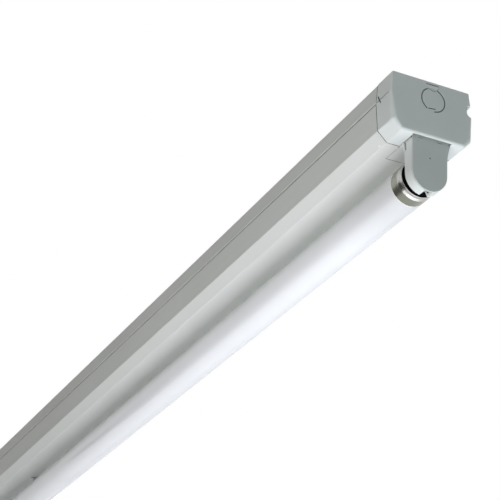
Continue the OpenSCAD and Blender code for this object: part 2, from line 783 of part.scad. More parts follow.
// Glass tube, closed at both ends inside the caps
module lamp_tube() {
    color(glass_white) difference() {
        glass_form(0);
        glass_form(glass_t);
    }
}
module glass_form(inset) {
    straight = lamp_len / 2 - lamp_cap_len;
    whole = lamp_len / 2 - glass_end_inset;
    translate([0, 0, -lamp_drop]) rotate([0, 90, 0]) rotate_extrude($fn = 96) polygon([
        [0, -whole + inset], [neck_r / 2, -whole + inset],
        [neck_r - inset, -whole + neck_r / 2], [neck_r - inset, -straight + inset / 2],
        [tube_d / 2 - inset, -straight + inset], [tube_d / 2 - inset, straight - inset],
        [neck_r - inset, straight - inset / 2], [neck_r - inset, whole - neck_r / 2],
        [neck_r / 2, whole - inset], [0, whole - inset]
    ]);
}
// Metal cap of the lamp, with its stepped shoulder
module lamp_cap() {
    r = tube_d / 2;
    seat = r * rim_r_share;
    inner = neck_r + fit_gap / 3;
    throat = r - 3 * lamp_cap_t;
    color(metal_grey) turned([
        [seat, 0], [r - 2 * cap_edge, 0], [r - cap_edge, cap_edge],
        [r - cap_edge, cap_step[0]], [r - 2 * lamp_cap_t, cap_step[1]],
        [r - 2 * lamp_cap_t, cap_step[2]], [r - lamp_cap_t / 4, cap_step[3]],
        [r - lamp_cap_t / 4, lamp_cap_len - seam_gap], [inner, lamp_cap_len - seam_gap],
        [inner, cap_step[3] + lamp_cap_t], [throat, cap_step[2] + lamp_cap_t],
        [throat, insulator_t + seam_gap], [seat, insulator_t + seam_gap]
    ]);
}
module pin_insulator() {
    r = tube_d / 2 * rim_r_share;
    color(soft_black) difference() {
        turned([[0, insulator_inset], [r - seam_gap, insulator_inset], [r - seam_gap, insulator_t],
            [0, insulator_t]]);
        for (s = [-1, 1]) pin_bar(s, pin_d + 2 * rotor_play, -cut_over, 2 * insulator_t);
    }
}
module pin_bar(s, d, from, to) {
    translate([face_x - from, s * pin_pitch / 2, -lamp_drop]) rotate([0, -90, 0])
        cylinder(h = to - from, d = d, $fn = small_fn);
}
module lamp_pins() {
    color(brass_yellow) for (s = [-1, 1]) {
        pin_bar(s, pin_d, -pin_len + pin_d / 4, insulator_t);
        translate([pin_tip_x - pin_d / 4, s * pin_pitch / 2, -lamp_drop]) rotate([0, 90, 0])
            cylinder(h = pin_d / 4, d1 = pin_d, d2 = pin_d / 2, $fn = small_fn);
    }
}
// Glass stem with its two wires and the coiled filament
module cathode() {
    base = glass_end_inset + glass_t;
    tip = base + stem_len;
    color(zinc_grey) turned([[0, base], [stem_r[0], base], [stem_r[1], tip], [0, tip]]);
    for (s = [-1, 1]) color(metal_grey)
        translate([face_x - tip, s * (stem_r[1] - cathode_wire_d), -lamp_drop]) rotate([0, -90, 0])
            cylinder(h = coil_reach, d = cathode_wire_d, $fn = 16);
    color(metal_grey) translate([face_x - tip - coil_reach - coil_d / 2, -coil_w / 2, -lamp_drop])
        rotate([-90, 0, 0]) cylinder(h = coil_w, d = coil_d, $fn = 16);
}

// Ballast: plate and walls, lid, board and terminals
plate_x = [ballast_offset, ballast_offset + ballast_len + 2 * (ballast_end_len + ballast_plate_over)];
case_x = [plate_x[0] + ballast_end_len + ballast_plate_over,
    plate_x[1] - ballast_end_len - ballast_plate_over];
module ballast_case() {
    color(zinc_grey) difference() {
        union() {
            box([plate_x[0], -ballast_w / 2, -sheet_t - ballast_sheet],
                [plate_x[1], ballast_w / 2, -sheet_t]);
            box([case_x[0], -ballast_w / 2, -sheet_t - ballast_h + ballast_sheet],
                [case_x[1], ballast_w / 2, -sheet_t]);
        }
        box([case_x[0] + ballast_sheet, -ballast_w / 2 + ballast_sheet, -sheet_t - ballast_h - cut_over],
            [case_x[1] - ballast_sheet, ballast_w / 2 - ballast_sheet, -sheet_t - ballast_sheet]);
        for (x = plate_x) ballast_screw_place(x)
            cylinder(h = ballast_sheet + 2 * cut_over, d = carrier_screw_d + rotor_play,
                center = true, $fn = round_fn);
    }
}
module ballast_screw_place(x) {
    inward = x < (plate_x[0] + plate_x[1]) / 2 ? 1 : -1;
    translate([x + inward * pan_head_d, 0, -sheet_t - ballast_sheet]) children();
}
module ballast_screws() {
    color(zinc_grey) for (x = plate_x) ballast_screw_place(x) {
        rotate([180, 0, 0]) pan_head(pan_head_d, pan_head_h);
        cylinder(h = ballast_sheet, d = carrier_screw_d, $fn = round_fn);
    }
}
module ballast_lid() {
    out = ballast_lid_gap + ballast_sheet;
    floor_z = -sheet_t - ballast_h;
    color(zinc_grey) difference() {
        box([case_x[0] - out, -ballast_w / 2 - out, floor_z],
            [case_x[1] + out, ballast_w / 2 + out, floor_z + ballast_lid_skirt]);
        box([case_x[0] - ballast_lid_gap, -ballast_w / 2 - ballast_lid_gap, floor_z + ballast_sheet],
            [case_x[1] + ballast_lid_gap, ballast_w / 2 + ballast_lid_gap,
                floor_z + ballast_lid_skirt + cut_over]);
    }
}
module ballast_board() {
    low = -sheet_t - ballast_sheet - board_gap - board_t;
    half = ballast_w / 2 - ballast_sheet - seam_gap;
    part_h = component_h_share * ballast_h;
    color("#3e7d4f") {
        box([case_x[0] + 2 * ballast_sheet, -half, low],
            [case_x[1] - 2 * ballast_sheet, half, low + board_t]);
        for (share = choke_places_share) {
            x = case_x[0] + share * ballast_len;
            box([x - choke_len_share * ballast_len / 2, -choke_w_share * half, low - part_h],
                [x + choke_len_share * ballast_len / 2, choke_w_share * half, low]);
        }
        for (share = capacitor_places_share)
            translate([case_x[0] + share * ballast_len, 0, low - part_h])
                cylinder(h = part_h, d = capacitor_d, $fn = small_fn);
    }
}
// A row of push-in wire entries: side is the way that the wires come out
module push_terminal(x, side, poles) {
    far_x = x + side * ballast_end_len;
    half = poles * pole_pitch / 2;
    color(plastic_white) difference() {
        box([min(x, far_x), -half, -sheet_t - ballast_sheet - terminal_h],
            [max(x, far_x), half, -sheet_t - ballast_sheet]);
        for (i = [0:poles - 1])
            translate([far_x + side * cut_over, pole_y(i, poles, pole_pitch), terminal_z])
                rotate([0, -side * 90, 0]) cylinder(
                    h = ballast_end_len / 2 + cut_over, d = lead_d + 2 * rotor_play, $fn = small_fn);
    }
}
terminal_z = -sheet_t - ballast_sheet - terminal_h / 2;
function pole_y(i, poles, pitch) = (i - (poles - 1) / 2) * pitch;
module ballast_mains_terminal() {
    push_terminal(case_x[0] - ballast_lid_gap - ballast_sheet - seam_gap, -1, mains_poles);
}
module ballast_lamp_terminal() {
    push_terminal(case_x[1] + ballast_lid_gap + ballast_sheet + seam_gap, 1, lamp_poles);
}

// Mains terminal block on the spine
module terminal_block() {
    color(plastic_white) difference() {
        box([block_x - block_len / 2, -block_w / 2, -sheet_t - block_h],
            [block_x + block_len / 2, block_w / 2, -sheet_t]);
        for (i = [0:mains_poles - 1]) translate([block_x, pole_y(i, mains_poles, block_pitch), 0]) {
            translate([-block_len / 2 - cut_over, 0, block_wire_z]) rotate([0, 90, 0])
                cylinder(h = block_len + 2 * cut_over, d = block_wire_d, $fn = small_fn);
            for (s = [-1, 1]) translate([s * block_len / 4, 0, -sheet_t - block_h - cut_over])
                cylinder(h = block_screw_depth + cut_over, d = block_screw_d + 2 * rotor_play,
                    $fn = small_fn);
        }
    }
}
module terminal_screws() {
    color(zinc_grey) for (i = [0:mains_poles - 1], s = [-1, 1])
        translate([block_x + s * block_len / 4, pole_y(i, mains_poles, block_pitch),
                -sheet_t - block_h + screw_slot_depth])
            difference() {
                cylinder(h = block_screw_depth - screw_slot_depth, d = block_screw_d, $fn = small_fn);
                box([-block_screw_d, -screw_slot_w / 2, -cut_over],
                    [block_screw_d, screw_slot_w / 2, screw_slot_depth]);
            }
}

// Earth point: a welded stud with washer, ring tag and nut
module earth_stud() {
    color(zinc_grey) translate([earth_x, 0, -sheet_t - stud_len])
        cylinder(h = stud_len, d = stud_d, $fn = small_fn);
}
module earth_ring(top, h, d, sides) {
    translate([earth_x, 0, top - h]) difference() {
        cylinder(h = h, d = d, $fn = sides);
        translate([0, 0, -cut_over])
            cylinder(h = h + 2 * cut_over, d = stud_d + 2 * rotor_play, $fn = small_fn);
    }
}
module earth_washer() {
    color(zinc_grey) earth_ring(-sheet_t, washer_t, washer_d, small_fn);
}
module earth_tag() {
    top = -sheet_t - washer_t;
    color(brass_yellow) difference() {
        union() {
            translate([earth_x, 0, top - tag_t]) cylinder(h = tag_t, d = washer_d, $fn = small_fn);
            box([earth_x - tag_len, -stud_d / 2, top - tag_t], [earth_x, stud_d / 2, top]);
        }
        translate([earth_x, 0, top - tag_t - cut_over])
            cylinder(h = tag_t + 2 * cut_over, d = stud_d + 2 * rotor_play, $fn = small_fn);
    }
}
module earth_nut() {
    color(zinc_grey) earth_ring(-sheet_t - washer_t - tag_t, nut_h, nut_across / cos(30), 6);
}

// Bush that lines the cable hole, flush with the back
module cable_bush() {
    bore = bush_bore_d / 2;
    barrel = entry_d / 2 - rotor_play;
    color(soft_black) rotate_extrude($fn = 96) polygon([
        [bore, 0], [barrel, 0], [barrel, -sheet_t], [entry_d / 2 + bush_flange_out, -sheet_t],
        [entry_d / 2 + bush_flange_out, -sheet_t - bush_flange_t],
        [barrel, -sheet_t - bush_flange_t], [bore + bush_wall, -bush_depth], [bore, -bush_depth]
    ]);
}

// Leads
module mains_leads() {
    out_x = block_x + block_len / 2;
    in_x = case_x[0] - ballast_lid_gap - ballast_sheet - seam_gap - ballast_end_len;
    for (i = [0, mains_poles - 1]) {
        s = i == 0 ? -1 : 1;
        color(i == 0 ? "#7a4a2c" : "#2d5fae") lead([
            [out_x - turn_len, pole_y(i, mains_poles, block_pitch), block_wire_z],
            [out_x + turn_len / 2, pole_y(i, mains_poles, block_pitch), block_wire_z],
            [out_x + 2 * turn_len, s * mains_run_y, lead_z],
            [plate_x[0] - turn_len, s * mains_run_y, lead_z],
            [plate_x[0] + pan_head_d, s * (ballast_w / 2 - lead_d), terminal_z],
            [in_x - lead_d, pole_y(i, mains_poles, pole_pitch), terminal_z],
            [in_x + ballast_end_len / 2, pole_y(i, mains_poles, pole_pitch), terminal_z]
        ]);
    }
}
module earth_lead() {
    out_x = block_x + block_len / 2;
    color("#7fae3a") lead([
        [out_x - turn_len, 0, block_wire_z], [out_x + turn_len / 2, 0, block_wire_z],
        [out_x + 2 * turn_len, earth_run_y, lead_z - lead_d],
        [earth_x - tag_len - 2 * turn_len, earth_run_y, lead_z - lead_d],
        [earth_x - tag_len - lead_d, 0, lead_z - lead_d], [earth_x - nut_across, 0, lead_z - lead_d]
    ]);
}
// Route of one of the two leads to a lampholder, in that end's own frame. The outer lane is 0, and
// turn says how far the lead goes before it turns towards its lane.
function lamp_route(start, lane, turn) =
    let (
        way = start.x < 0 ? -1 : 1,
        y = run_y + (1 - lane) * run_step,
        side = lane == 0 ? 1 : -1,
        cage_x = holder_front_x - holder_depth / 2 + lead_d / 2
    ) [
        start,
        start + [way * turn_len / 2, 0, 0],
        [start.x + way * (1.5 + turn / 2) * turn_len, y, lead_z],
        [end_x - drop_inset, y, lead_z],
        [end_x - bend_inset, bend_y - lane * run_step, bend_z + lane * 2 * lead_d],
        [cage_x, side * pin_pitch / 2, neck_z],
        [cage_x, side * pin_pitch / 2, -body_h - cage_h / 2]
    ];
terminal_out_x = case_x[1] + ballast_lid_gap + ballast_sheet + seam_gap + ballast_end_len;
module lamp_leads_near() {
    color("#d8d8d4") for (i = [0, 1])
        lead(lamp_route([terminal_out_x - ballast_end_len / 4,
            pole_y(lamp_poles - 1 - i, lamp_poles, pole_pitch), terminal_z], i, i));
}
module lamp_leads_far() {
    color("#c9504a") at_end(true) for (i = [0, 1])
        lead(lamp_route([-(terminal_out_x - ballast_end_len / 4),
            -pole_y(i, lamp_poles, pole_pitch), terminal_z], 1 - i, i));
}
// Saddles that hold the two lamp leads to the spine
module lead_clips() {
    near_from = terminal_out_x + 3 * turn_len;
    color(plastic_white) {
        for (x = [near_from:clip_pitch:end_x - drop_inset - clip_len]) lead_clip(x);
        at_end(true) for (x = [-terminal_out_x + clip_pitch / 4:clip_pitch:end_x - drop_inset - clip_len])
            lead_clip(x);
    }
}
module lead_clip(x) {
    low_y = run_y - lead_d / 2;
    high_y = run_y + run_step + lead_d / 2;
    difference() {
        box([x, low_y - clip_wall, lead_z - lead_d / 2 - clip_wall],
            [x + clip_len, high_y + clip_wall, -sheet_t]);
        box([x - cut_over, low_y, lead_z - lead_d / 2],
            [x + clip_len + cut_over, high_y, lead_z + lead_d / 2]);
    }
}

spine();
cover();
cover_post();
cover_screw();
at_end(false) end_cap();  // end_cap_near
at_end(true) end_cap();  // end_cap_far
at_end(false) holder_carrier();  // holder_carrier_near
at_end(true) holder_carrier();  // holder_carrier_far
carrier_screws();
at_end(false) lampholder();  // lampholder_near
at_end(true) lampholder();  // lampholder_far
at_end(false) holder_plate();  // holder_plate_near
at_end(true) holder_plate();  // holder_plate_far
at_end(false) rotor();  // rotor_near
at_end(true) rotor();  // rotor_far
at_end(false) contacts();  // contacts_near
at_end(true) contacts();  // contacts_far
lamp_tube();
at_end(false) lamp_cap();  // lamp_cap_near
at_end(true) lamp_cap();  // lamp_cap_far
at_end(false) pin_insulator();  // pin_insulator_near
at_end(true) pin_insulator();  // pin_insulator_far
at_end(false) lamp_pins();  // lamp_pins_near
at_end(true) lamp_pins();  // lamp_pins_far
at_end(false) cathode();  // cathode_near
at_end(true) cathode();  // cathode_far
ballast_case();
ballast_lid();
ballast_board();
ballast_mains_terminal();
ballast_lamp_terminal();
ballast_screws();
terminal_block();
terminal_screws();
earth_stud();
earth_washer();
earth_tag();
earth_nut();
cable_bush();
mains_leads();
earth_lead();
lamp_leads_near();
lamp_leads_far();
lead_clips();
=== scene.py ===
"""Dresses the batten light: a folded steel housing with moulded ends that carries one straight lamp.

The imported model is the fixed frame. Each operator below makes one group of pieces round it.
"""

import json
import math

import bmesh
import bpy
from mathutils import Matrix, Vector


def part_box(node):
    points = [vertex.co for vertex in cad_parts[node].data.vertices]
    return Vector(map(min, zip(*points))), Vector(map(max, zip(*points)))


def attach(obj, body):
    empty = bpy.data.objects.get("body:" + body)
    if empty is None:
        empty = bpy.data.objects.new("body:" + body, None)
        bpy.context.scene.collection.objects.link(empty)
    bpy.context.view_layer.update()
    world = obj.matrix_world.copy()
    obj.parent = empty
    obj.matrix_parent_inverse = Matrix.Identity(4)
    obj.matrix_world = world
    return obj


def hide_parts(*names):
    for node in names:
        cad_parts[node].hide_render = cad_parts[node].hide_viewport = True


bl_info = {
    "name": "Batten light",
    "version": (1, 0, 0),
    "blender": (4, 5, 0),
    "location": "View3D > Sidebar > Batten",
    "description": "Builds the finished surfaces of a batten light round its fixed model",
    "category": "Object",
}

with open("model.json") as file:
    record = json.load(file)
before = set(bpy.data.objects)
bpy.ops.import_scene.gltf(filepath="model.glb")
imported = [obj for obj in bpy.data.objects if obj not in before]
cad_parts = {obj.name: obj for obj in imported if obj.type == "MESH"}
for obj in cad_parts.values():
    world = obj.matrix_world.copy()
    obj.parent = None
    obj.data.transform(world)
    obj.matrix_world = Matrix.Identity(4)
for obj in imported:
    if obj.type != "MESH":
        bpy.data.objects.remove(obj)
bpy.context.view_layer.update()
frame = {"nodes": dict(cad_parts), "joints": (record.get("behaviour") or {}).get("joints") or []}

MM = 0.001
FULL_TURN = 2 * math.pi
NODES = frame["nodes"]
NEAR_END_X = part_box("end_cap_near")[1].x
LAMP_AXIS_Z = next(j["pos_m"][2] for j in frame["joints"] if j["name"] == "lamp_turn")
TUBE_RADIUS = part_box("lamp_tube")[1].y
TUBE_END_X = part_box("lamp_tube")[1].x
CAP_EDGE_X, CAP_FACE_X = (corner.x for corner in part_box("lamp_cap_near"))
PINS_LOW, PINS_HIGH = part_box("lamp_pins_near")

# Faces of a CAD node that meet at less than the first angle become one, and an edge sharper than the
# second is rounded. An edge of a finished piece sharper than the third isn't shaded smooth.
FLAT_ANGLE = math.radians(0.5)
EASED_ANGLE = math.radians(35)
SHARP_ANGLE = math.radians(40)
# Points of a CAD node closer than this are one point.
WELD = 0.002 * MM
# Steps of the curve that eases a corner of a turned outline.
CURVE_STEPS = 5

# Length of the tube, from each cap, over which the glass is drawn greyer.
GREYED_LENGTH = 80 * MM
# Sizes of the surface patterns. The rings of the cap are drawn coarser than real turning marks, to show.
ORANGE_PEEL = 1.43 * MM
HANDLING_HAZE = 111 * MM
MOULD_FLOW = 25 * MM
POWDER_CLOUD = 40 * MM
TURNED_RINGS = 0.4 * MM
METAL_STAIN = 6.25 * MM
FLOOR_CLOUD = 667 * MM

# Points just inside the two ends, which the soft lights face.
NEAR_TARGET = Vector((NEAR_END_X - 0.1, 0, -0.05))
FAR_TARGET = Vector((-NEAR_END_X + 0.1, 0, -0.05))
# Each soft light: its name, the end that it lights, the side that it comes from, its watts and its colour.
SOFT_LIGHTS = (
    ("soft_below", NEAR_TARGET, (0.1, 0, -1), 8.3, (0.97, 0.98, 1.05)),
    ("soft_below_left", NEAR_TARGET, (0.1, -0.5, -0.87), 2.5, (1.01, 0.98, 1.01)),
    ("soft_left", NEAR_TARGET, (0.1, -0.87, -0.5), 3.5, (1.02, 1.01, 0.97)),
    ("soft_below_right", NEAR_TARGET, (0.1, 0.6, -0.8), 4.8, (0.95, 1.01, 1.02)),
    ("soft_front", NEAR_TARGET, (1, -0.1, -0.1), 2.0, (0.88, 1.06, 1.05)),
    ("soft_front_left", NEAR_TARGET, (0.55, -0.7, -0.45), 2.9, (0.98, 1.02, 1.0)),
    ("soft_above", NEAR_TARGET, (-0.1, 0.6, 0.8), 8.0, (1.0, 1.0, 1.0)),
    ("soft_back", FAR_TARGET, (-1, 0.1, 0), 3.0, (1.0, 1.0, 1.0)),
)


class StageSettings(bpy.types.PropertyGroup):
    """Camera, floor, dark card and lights."""

    camera_from_end: bpy.props.FloatVectorProperty(
        name="Camera place",
        description="Camera place, counted from the ceiling at the near end",
        default=(0.6208, -0.4203, -0.5028),
        unit="LENGTH",
    )
    heading: bpy.props.FloatProperty(
        name="Heading",
        description="Turn of the view away from the length of the housing",
        default=math.radians(25.72),
        subtype="ANGLE",
    )
    climb: bpy.props.FloatProperty(
        name="Climb",
        description="Rise of the view above level",
        default=math.radians(27.36),
        subtype="ANGLE",
    )
    roll: bpy.props.FloatProperty(
        name="Roll",
        description="Turn of the camera about its view",
        default=math.radians(1.32),
        subtype="ANGLE",
    )
    lens: bpy.props.FloatProperty(
        name="Lens", description="Focal length", default=104.09, unit="CAMERA"
    )
    floor_drop: bpy.props.FloatProperty(
        name="Floor drop",
        description="Height of the ceiling over the floor",
        default=5.0,
        unit="LENGTH",
    )
    floor_size: bpy.props.FloatProperty(
        name="Floor size", description="Width of the floor", default=60.0, unit="LENGTH"
    )
    floor_colour: bpy.props.StringProperty(
        name="Floor colour", description="Colour of the floor, as hex", default="#E9EAEA"
    )
    floor_whiteness: bpy.props.FloatProperty(
        name="Floor whiteness",
        description="Share of plain white in the floor that the camera sees",
        default=0.96,
        subtype="FACTOR",
    )
    card_from_end: bpy.props.FloatVectorProperty(
        name="Card place",
        description="Place of the dark card, counted from the ceiling at the near end",
        default=(-0.9, -0.7, -0.35),
        unit="LENGTH",
    )
    card_size: bpy.props.FloatVectorProperty(
        name="Card size",
        description="Width and height of the dark card",
        size=2,
        default=(2.2, 0.7),
        unit="LENGTH",
    )
    card_colour: bpy.props.StringProperty(
        name="Card colour", description="Tone of the card along the lamp, as hex", default="#7A7A76"
    )
    card_dark_colour: bpy.props.StringProperty(
        name="Dark card colour",
        description="Tone of the card beside the lamp cap, as hex",
        default="#1A1A1A",
    )
    card_dark_reach: bpy.props.FloatProperty(
        name="Dark card reach",
        description="Reach of the dark tone, counted from the near end",
        default=0.4,
        unit="LENGTH",
    )
    light_size: bpy.props.FloatProperty(
        name="Light size", description="Width of each soft light", default=1.0, unit="LENGTH"
    )
    light_distance: bpy.props.FloatProperty(
        name="Light distance",
        description="Distance of each soft light from the end that it lights",
        default=1.2,
        unit="LENGTH",
    )
    room_level: bpy.props.FloatProperty(
        name="Room level", description="Strength of the even light of the room", default=0.02
    )


class HousingSettings(bpy.types.PropertyGroup):
    """Folded sheet housing and its moulded ends."""

    steel_colour: bpy.props.StringProperty(
        name="Steel colour", description="Colour of the powder coat, as hex", default="#E4E6E3"
    )
    moulding_colour: bpy.props.StringProperty(
        name="Moulding colour", description="Colour of the moulded ends, as hex", default="#E8ECEB"
    )
    sheet_edge: bpy.props.FloatProperty(
        name="Sheet edge",
        description="Rounding of a painted sheet edge",
        default=0.08 * MM,
        unit="LENGTH",
    )
    moulding_edge: bpy.props.FloatProperty(
        name="Moulding edge",
        description="Rounding of a moulded edge",
        default=0.22 * MM,
        unit="LENGTH",
    )


class LampSettings(bpy.types.PropertyGroup):
    """Fluorescent lamp."""

    glass_colour: bpy.props.StringProperty(
        name="Glass colour", description="Colour of the coated glass, as hex", default="#FBFCFF"
    )
    cap_colour: bpy.props.StringProperty(
        name="Cap colour", description="Colour of the cap's sleeve, as hex", default="#94978A"
    )
    shoulder_highlight_colour: bpy.props.StringProperty(
        name="Shoulder colour",
        description="Colour of the cap's polished shoulder, as hex",
        default="#B4B5B2",
    )
    shoulder_length: bpy.props.FloatProperty(
        name="Shoulder length",
        description="Length of the cap's polished shoulder",
        default=4.0 * MM,
        unit="LENGTH",
    )
    disc_share: bpy.props.FloatProperty(
        name="Disc share",
        description="Seat of the black disc, as a share of the tube's radius",
        default=0.93,
        subtype="FACTOR",
    )
    steps_round: bpy.props.IntProperty(
        name="Steps round", description="Steps of each turned shape", default=128
    )


def linear(hex_colour):
    """An sRGB hex colour as the linear RGBA that a shader takes."""
    parts = [int(hex_colour[i : i + 2], 16) / 255 for i in (1, 3, 5)]
    return [p / 12.92 if p <= 0.04045 else ((p + 0.055) / 1.055) ** 2.4 for p in parts] + [1.0]


def node(tree, kind, inputs=(), **settings):
    """Adds a shader node with its settings, and gives each input a value or a link."""
    made = tree.nodes.new(kind)
    for name, value in settings.items():
        setattr(made, name, value)
    for name, value in dict(inputs).items():
        if isinstance(value, bpy.types.NodeSocket):
            tree.links.new(value, made.inputs[name])
        else:
            made.inputs[name].default_value = value
    return made


def new_material(name):
    """An empty node material, and its tree."""
    material = bpy.data.materials.new(name)
    material.use_nodes = True
    material.node_tree.nodes.clear()
    return material, material.node_tree


def finish_material(tree, shader):
    """Shows the shader on the surface."""
    node(tree, "ShaderNodeOutputMaterial", {"Surface": shader.outputs[0]})


def shaded(tree, shades, factor):
    """A colour that runs between two shades, hex or linked, as the factor goes from 0 to 1."""
    first, second = (linear(shade) if isinstance(shade, str) else shade for shade in shades)
    # The sockets of this node share their names, so the factor and the colours go by number.
    mixed = node(tree, "ShaderNodeMix", {0: factor, 6: first, 7: second}, data_type="RGBA")
    return mixed.outputs[2]


def with_painted_gap_shade(tree, colour, gap_shade, reach):
    """The colour, turned to the given shade in gaps and grooves narrower than the reach: painted shade
    where less light reaches.
    """
    # Painted shade: the occlusion of each point sets how far its colour turns to the given shade.
    space = node(tree, "ShaderNodeAmbientOcclusion", {"Distance": reach}, samples=16)
    unshaded = node(
        tree, "ShaderNodeMapRange", {"Value": space.outputs["AO"], "From Min": 0.4, "From Max": 0.85}
    )
    return shaded(tree, (gap_shade, colour), unshaded.outputs[0])


def powder_coated_steel(name, colour):
    """Polyester powder coat on sheet steel: satin, with a fine orange peel and faint handling haze."""
    material, tree = new_material(name)
    place = node(tree, "ShaderNodeTexCoord").outputs["Object"]
    peel = node(tree, "ShaderNodeTexNoise", {"Vector": place, "Scale": 1 / ORANGE_PEEL, "Detail": 2.0})
    haze = node(tree, "ShaderNodeTexNoise", {"Vector": place, "Scale": 1 / HANDLING_HAZE, "Detail": 4.0})
    gloss = node(
        tree, "ShaderNodeMapRange", {"Value": haze.outputs[0], "To Min": 0.36, "To Max": 0.50}
    )
    paint = shaded(tree, (colour, "#DFE1DD"), haze.outputs[0])
    bump = node(
        tree, "ShaderNodeBump", {"Height": peel.outputs[0], "Strength": 0.10, "Distance": 0.2 * MM}
    )
    shader = node(
        tree,
        "ShaderNodeBsdfPrincipled",
        {
            # Painted shade: the paint turns dark grey in seams and gaps narrower than 3 mm.
            "Base Color": with_painted_gap_shade(tree, paint, "#484845", 3 * MM),
            "Roughness": gloss.outputs[0],
            "Specular IOR Level": 0.22,
            "Normal": bump.outputs[0],
            "IOR": 1.5,
        },
    )
    finish_material(tree, shader)
    return material


def moulded_polycarbonate(name, shades, grain, roughness, gap_shade):
    """White polycarbonate from a spark-eroded mould: a fine even grain, slightly translucent."""
    material, tree = new_material(name)
    place = node(tree, "ShaderNodeTexCoord").outputs["Object"]
    grains = node(tree, "ShaderNodeTexNoise", {"Vector": place, "Scale": 1 / grain, "Detail": 3.0})
    flow = node(tree, "ShaderNodeTexNoise", {"Vector": place, "Scale": 1 / MOULD_FLOW, "Detail": 3.0})
    gloss = node(
        tree,
        "ShaderNodeMapRange",
        {"Value": flow.outputs[0], "To Min": roughness - 0.05, "To Max": roughness + 0.05},
    )
    bump = node(
        tree, "ShaderNodeBump", {"Height": grains.outputs[0], "Strength": 0.12, "Distance": 0.1 * MM}
    )
    shader = node(
        tree,
        "ShaderNodeBsdfPrincipled",
        {
            # Painted shade: the moulding turns to the given shade in gaps and grooves narrower than 1.5
            # mm.
            "Base Color": with_painted_gap_shade(tree, shaded(tree, shades, flow.outputs[0]), gap_shade, 1.5 * MM),
            "Roughness": gloss.outputs[0],
            "Subsurface Weight": 0.15,
            "Subsurface Radius": (2 * MM, 2 * MM, 2 * MM),
            "Subsurface Scale": 1.0,
            "IOR": 1.585,
            "Specular IOR Level": 0.25,
            "Normal": bump.outputs[0],
        },
    )
    finish_material(tree, shader)
    return material


def phosphor_coated_glass(name, colour):
    """Soda-lime tube with a white powder inside: matt white seen through clear gloss glass.

    The powder is drawn a little greyer towards each cap.
    """
    material, tree = new_material(name)
    place = node(tree, "ShaderNodeTexCoord").outputs["Object"]
    cloud = node(tree, "ShaderNodeTexNoise", {"Vector": place, "Scale": 1 / POWDER_CLOUD, "Detail": 5.0})
    gloss = node(
        tree, "ShaderNodeMapRange", {"Value": cloud.outputs[0], "To Min": 0.55, "To Max": 0.70}
    )
    apart = node(tree, "ShaderNodeSeparateXYZ", {"Vector": place})
    along = node(tree, "ShaderNodeMath", {0: apart.outputs["X"]}, operation="ABSOLUTE")
    near_cap = node(
        tree,
        "ShaderNodeMapRange",
        {"Value": along.outputs[0], "From Min": CAP_EDGE_X - GREYED_LENGTH, "From Max": CAP_EDGE_X},
        interpolation_type="SMOOTHSTEP",
    )
    white = shaded(tree, (colour, "#F6F8FC"), cloud.outputs[0])
    shader = node(
        tree,
        "ShaderNodeBsdfPrincipled",
        {
            "Base Color": shaded(tree, (white, "#E2E3E5"), near_cap.outputs[0]),
            "Roughness": gloss.outputs[0],
            "Coat Weight": 1.0,
            "Coat Roughness": 0.06,
            "Coat IOR": 1.52,
            "Subsurface Weight": 0.1,
            "Subsurface Radius": (3 * MM, 3 * MM, 3 * MM),
            "Subsurface Scale": 1.0,
        },
    )
    finish_material(tree, shader)
    return material


def drawn_aluminium(name, colour, highlighted, shoulder_edge_x):
    """Deep-drawn lamp cap: a dull, faintly olive sleeve with fine rings, and a shoulder drawn brighter as
    a painted highlight.
    """
    material, tree = new_material(name)
    place = node(tree, "ShaderNodeTexCoord").outputs["Object"]
    rings_place = node(tree, "ShaderNodeMapping", {"Vector": place, "Scale": (1.0, 0.02, 0.02)})
    rings = node(
        tree,
        "ShaderNodeTexNoise",
        {"Vector": rings_place.outputs[0], "Scale": 1 / TURNED_RINGS, "Detail": 3.0},
    )
    stain = node(tree, "ShaderNodeTexNoise", {"Vector": place, "Scale": 1 / METAL_STAIN, "Detail": 4.0})
    gloss = node(
        tree, "ShaderNodeMapRange", {"Value": stain.outputs[0], "To Min": 0.20, "To Max": 0.34}
    )
    apart = node(tree, "ShaderNodeSeparateXYZ", {"Vector": place})
    along = node(tree, "ShaderNodeMath", {0: apart.outputs["X"]}, operation="ABSOLUTE")
    # Painted highlight: towards the cap's face, the colour turns from the sleeve's to the brighter
    # shoulder colour over 0.8 mm.
    shoulder = node(
        tree,
        "ShaderNodeMapRange",
        {
            "Value": along.outputs[0],
            "From Min": shoulder_edge_x - 0.8 * MM,
            "From Max": shoulder_edge_x,
        },
    )
    sleeve = shaded(tree, (colour, "#898C7E"), stain.outputs[0])
    bump = node(
        tree, "ShaderNodeBump", {"Height": rings.outputs[0], "Strength": 0.25, "Distance": 0.1 * MM}
    )
    shader = node(
        tree,
        "ShaderNodeBsdfPrincipled",
        {
            "Base Color": shaded(tree, (sleeve, highlighted), shoulder.outputs[0]),
            "Metallic": 1.0,
            "Roughness": gloss.outputs[0],
            "Normal": bump.outputs[0],
        },
    )
    finish_material(tree, shader)
    return material


def plain_metal(name, shades, roughness, grain):
    """A small stamped, plated or drawn metal piece, mottled at the size of its grain."""
    material, tree = new_material(name)
    place = node(tree, "ShaderNodeTexCoord").outputs["Object"]
    mottle = node(tree, "ShaderNodeTexNoise", {"Vector": place, "Scale": 1 / grain, "Detail": 4.0})
    gloss = node(
        tree,
        "ShaderNodeMapRange",
        {"Value": mottle.outputs[0], "To Min": roughness - 0.08, "To Max": roughness + 0.08},
    )
    bump = node(
        tree, "ShaderNodeBump", {"Height": mottle.outputs[0], "Strength": 0.1, "Distance": 0.1 * MM}
    )
    shader = node(
        tree,
        "ShaderNodeBsdfPrincipled",
        {
            "Base Color": shaded(tree, shades, mottle.outputs[0]),
            "Metallic": 1.0,
            "Roughness": gloss.outputs[0],
            "Normal": bump.outputs[0],
        },
    )
    finish_material(tree, shader)
    return material


